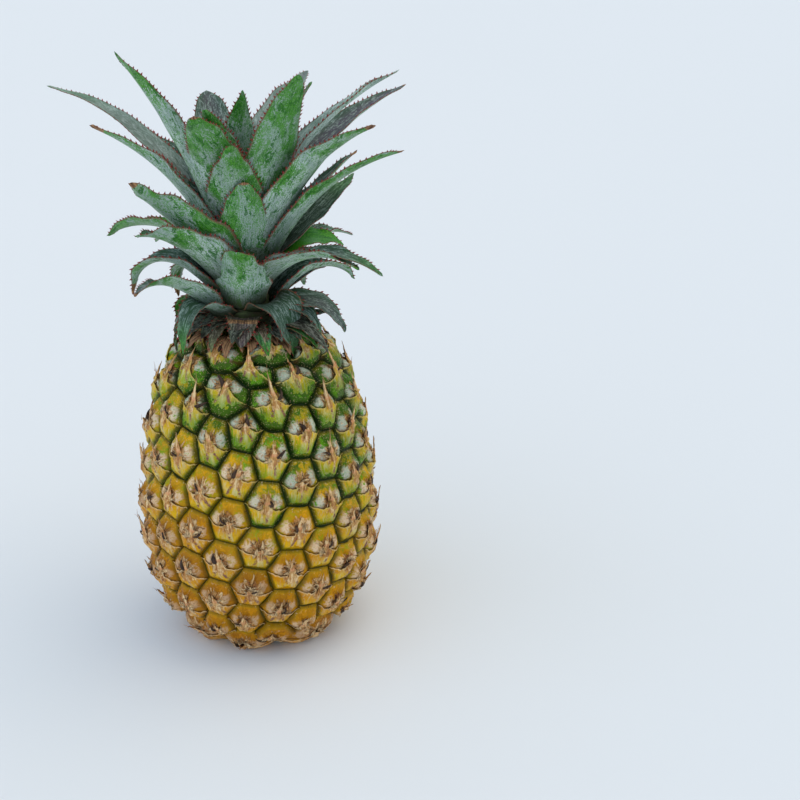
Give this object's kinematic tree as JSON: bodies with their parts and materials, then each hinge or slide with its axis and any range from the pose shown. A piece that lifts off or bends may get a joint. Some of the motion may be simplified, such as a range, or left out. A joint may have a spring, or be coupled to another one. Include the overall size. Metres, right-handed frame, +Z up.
{
  "type": "pineapple",
  "caption": "Whole fresh pineapple standing on its base, with a knobbly yellow and green rind and a crown of stiff, toothed grey-green leaves.",
  "frame": {"origin": "centre of the flat face under the fruit, on the surface it stands on", "axes": "+Z up along the fruit towards the crown, -Y towards the side seen first, +X to the right of that side"},
  "size_m": [0.1815, 0.1645, 0.3154],
  "materials": {
    "rind": "waxy rind, golden yellow low down and dark green at the top, with dry tan bracts",
    "stem": "matt, fibrous and pale green-brown",
    "leaf": "grey waxy bloom over deep green, rubbed off in streaks",
    "dried_leaf": "dry, papery and brown"
  },
  "bodies": {
    "root": {"fruit_body": "rind", "crown_stem": "stem", "heart_leaf_1": "leaf", "heart_leaf_2": "leaf", "heart_leaf_3": "leaf", "heart_leaf_4": "leaf", "heart_leaf_5": "leaf", "upper_leaf_1": "leaf", "upper_leaf_2": "leaf", "upper_leaf_3": "leaf", "upper_leaf_4": "leaf", "upper_leaf_5": "leaf", "upper_leaf_6": "leaf", "upper_leaf_7": "leaf", "upper_leaf_8": "leaf", "upper_leaf_9": "leaf", "upper_leaf_10": "leaf", "upper_leaf_11": "leaf", "middle_leaf_1": "leaf", "middle_leaf_2": "leaf", "middle_leaf_3": "leaf", "middle_leaf_4": "leaf", "middle_leaf_5": "leaf", "middle_leaf_6": "leaf", "middle_leaf_7": "leaf", "middle_leaf_8": "leaf", "middle_leaf_9": "leaf", "middle_leaf_10": "leaf", "middle_leaf_11": "leaf", "middle_leaf_12": "leaf", "middle_leaf_13": "leaf", "middle_leaf_14": "leaf", "middle_leaf_15": "leaf", "middle_leaf_16": "leaf", "middle_leaf_17": "leaf", "middle_leaf_18": "leaf", "lower_leaf_1": "leaf", "lower_leaf_2": "leaf", "lower_leaf_3": "leaf", "lower_leaf_4": "leaf", "lower_leaf_5": "leaf", "lower_leaf_6": "leaf", "lower_leaf_7": "leaf", "lower_leaf_8": "leaf", "lower_leaf_9": "leaf", "collar_leaf_1": "leaf", "collar_leaf_2": "leaf", "collar_leaf_3": "dried_leaf", "collar_leaf_4": "leaf", "collar_leaf_5": "leaf", "collar_leaf_6": "leaf", "collar_leaf_7": "leaf", "collar_leaf_8": "leaf", "collar_leaf_9": "leaf", "collar_leaf_10": "leaf"}
  },
  "joints": []
}
